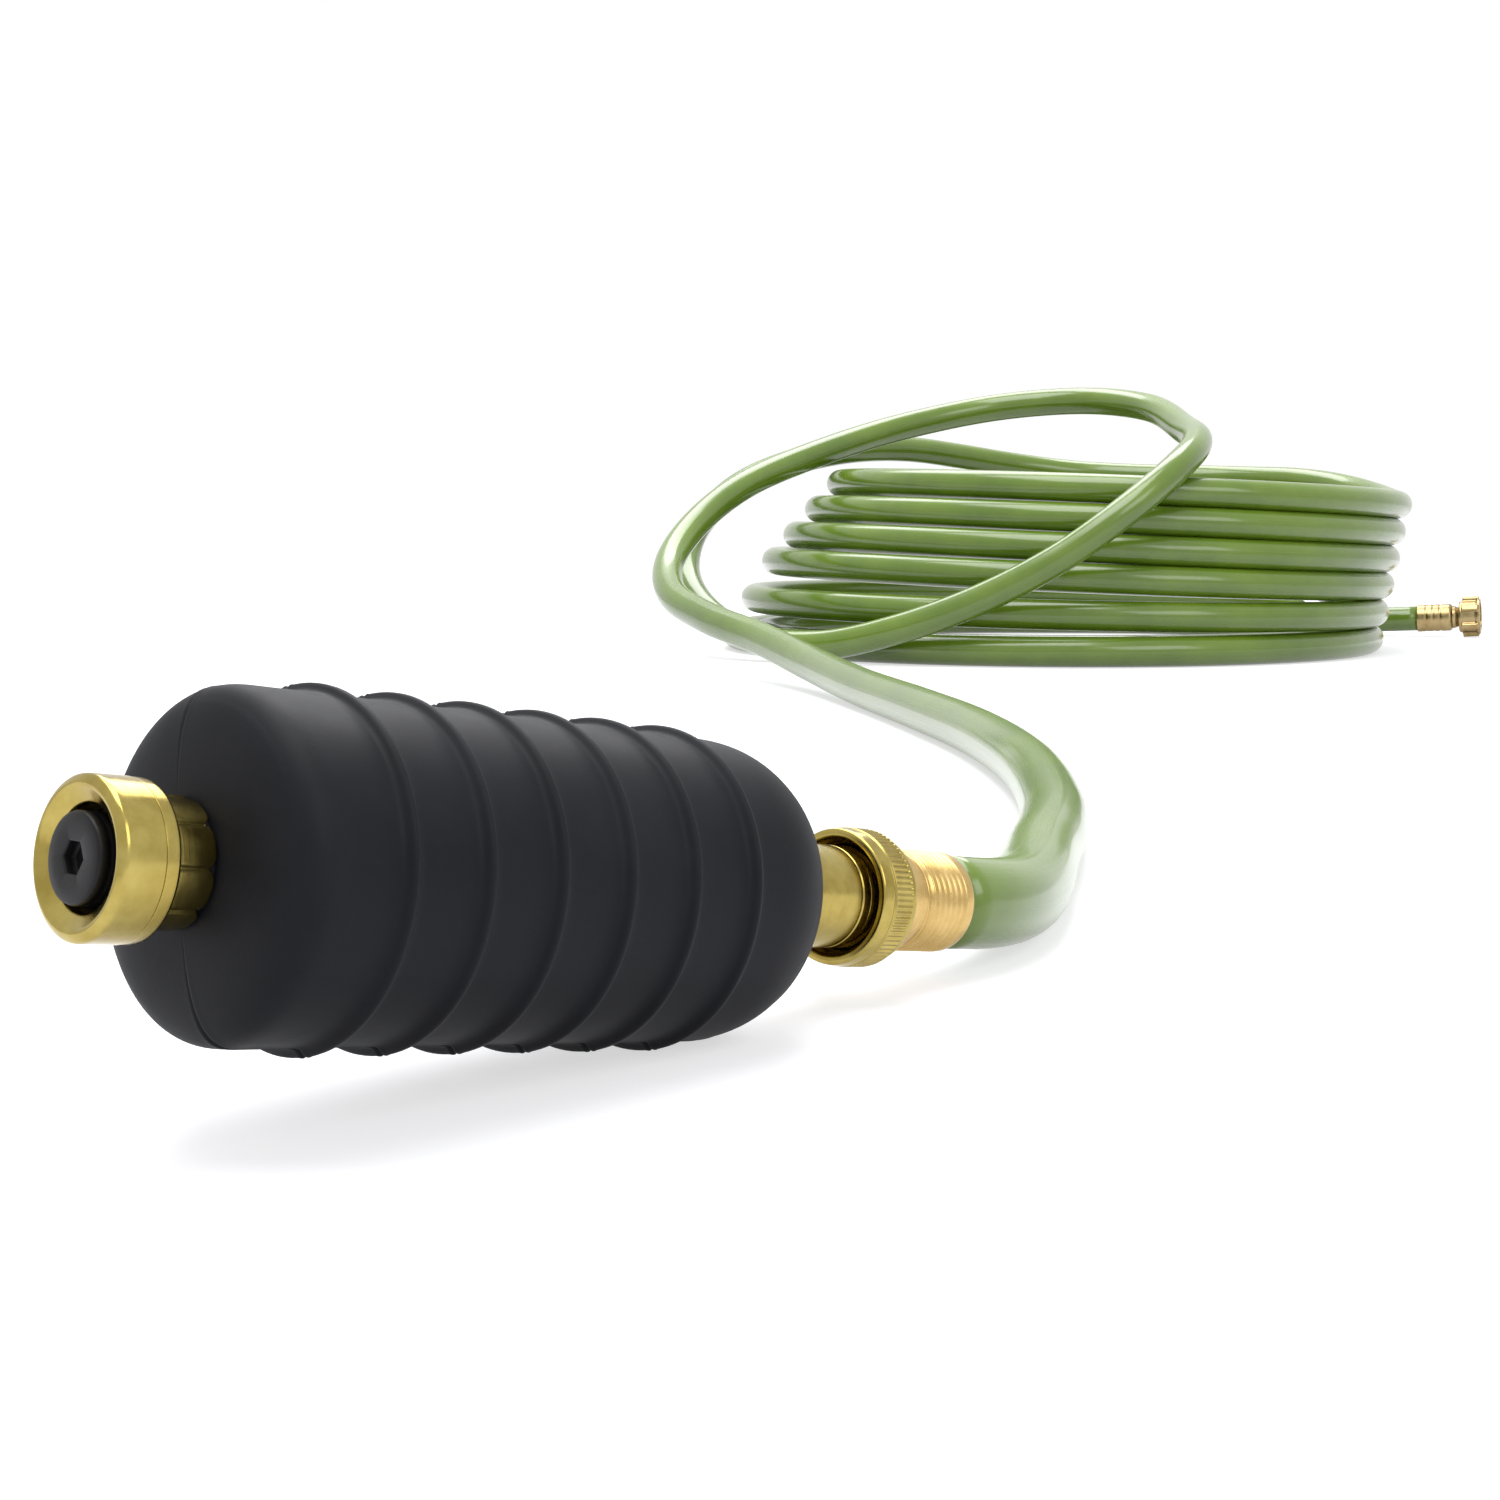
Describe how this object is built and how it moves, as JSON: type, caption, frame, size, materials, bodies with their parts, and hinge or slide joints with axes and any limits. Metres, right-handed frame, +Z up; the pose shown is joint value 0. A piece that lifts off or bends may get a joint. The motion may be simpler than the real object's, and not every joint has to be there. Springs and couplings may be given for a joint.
{
  "type": "drain cleaning bladder",
  "caption": "Ribbed rubber drain cleaning bladder with a brass valve nozzle and a knurled rear coupling, joined to a coiled green garden hose with brass fittings",
  "frame": {"origin": "on the floor, under the middle of the bladder with its nozzle and couplings", "axes": "+X from the bladder's nozzle to its hose coupling, +Y to the left of that, +Z up"},
  "size_m": [1.9398, 1.182, 0.234],
  "materials": {
    "rubber": "satin moulded black rubber",
    "brass": "turned, polished brass",
    "coupling_brass": "warmer machined brass of the hose coupling",
    "pale_brass": "pale brushed brass",
    "black_plastic": "satin black",
    "washer_rubber": "matt rubber",
    "spring_steel": "bright drawn wire",
    "green_hose": "smooth glossy green hose"
  },
  "bodies": {
    "bladder_and_hose": {"bladder": "rubber", "nozzle_body": "brass", "front_ferrule": "brass", "nozzle_cap": "brass", "valve_seat": "washer_rubber", "valve_spring": "spring_steel", "rear_ferrule": "brass", "tailpiece": "brass", "coupling_nut": "brass", "coupling_washer": "washer_rubber", "hose_coupling": "coupling_brass", "hose_lead": "green_hose", "hose_coil": "green_hose", "hose_tail": "green_hose", "far_ferrule": "pale_brass", "far_stem": "pale_brass", "far_washer": "washer_rubber"},
    "valve": {"valve_poppet": "black_plastic", "valve_stem_nut": "brass"},
    "far_nut": {"far_swivel_nut": "pale_brass"}
  },
  "joints": [
    {"name": "valve_slide", "type": "slide", "parent": "bladder_and_hose", "child": "valve", "axis": [-0.9882, 0, 0.1533], "range_m": [0, 0.002], "stiffness_N_per_m": 200, "deforming": ["valve_spring"]},
    {"name": "far_nut_spin", "type": "hinge", "parent": "bladder_and_hose", "child": "far_nut", "pos_m": [1.79533, 0.65556, 0.02002], "axis": [0.3667, -0.9289, 0.0523], "continuous": true}
  ]
}
